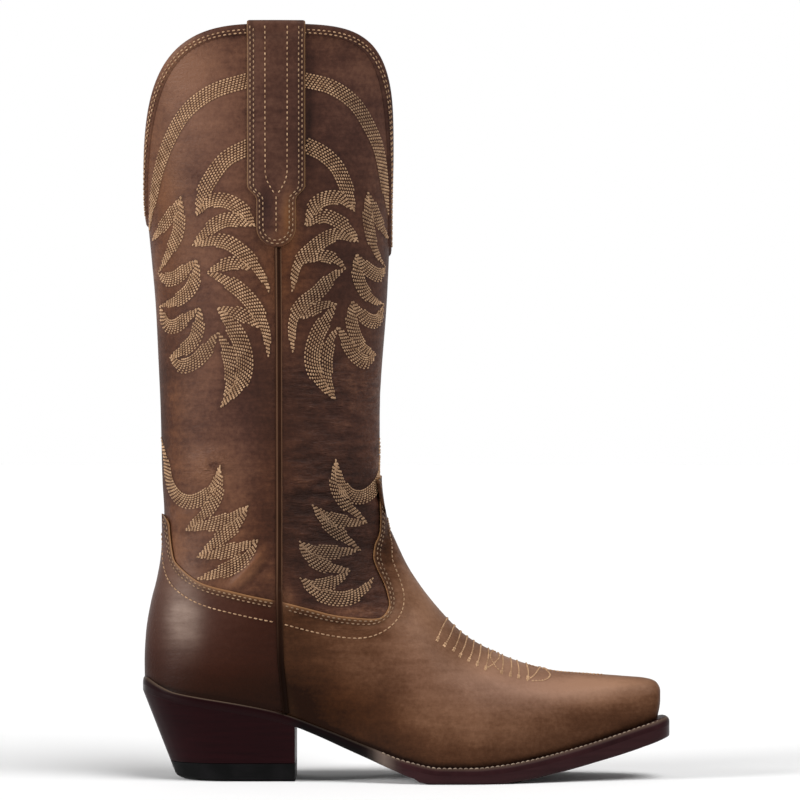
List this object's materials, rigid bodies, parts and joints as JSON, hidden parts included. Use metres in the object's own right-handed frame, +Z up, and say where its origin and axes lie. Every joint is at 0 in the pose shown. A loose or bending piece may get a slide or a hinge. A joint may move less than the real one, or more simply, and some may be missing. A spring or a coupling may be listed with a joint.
{
  "type": "western boot",
  "caption": "Tall pull-on western boot with a snip toe, dipped collar, pull straps, panelled leather upper, welted leather sole and underslung stacked heel.",
  "frame": {"origin": "middle of the boot's bounding box on the floor plane it stands on", "axes": "+X from heel to toe, +Y to the inner side of the right foot, +Z up the shaft"},
  "size_m": [0.2893, 0.0944, 0.412],
  "materials": {
    "shaft_leather": "distressed, satin",
    "foot_leather": "distressed, satin",
    "trim_leather": "satin",
    "strap_leather": "satin",
    "insole_leather": "matte",
    "welt_leather": "edge-dyed, satin",
    "sole_leather": "edge-dyed, satin",
    "heel_leather": "edge-dyed, polished",
    "cap_rubber": "matte"
  },
  "bodies": {
    "root": {"upper": "shaft_leather", "vamp": "foot_leather", "counter": "foot_leather", "collar_band": "trim_leather", "side_seam_outer": "trim_leather", "side_seam_inner": "trim_leather", "pull_strap_outer": "strap_leather", "pull_strap_inner": "strap_leather", "insole": "insole_leather", "welt": "welt_leather", "outsole": "sole_leather", "heel": "heel_leather", "heel_cap": "cap_rubber"}
  },
  "joints": []
}
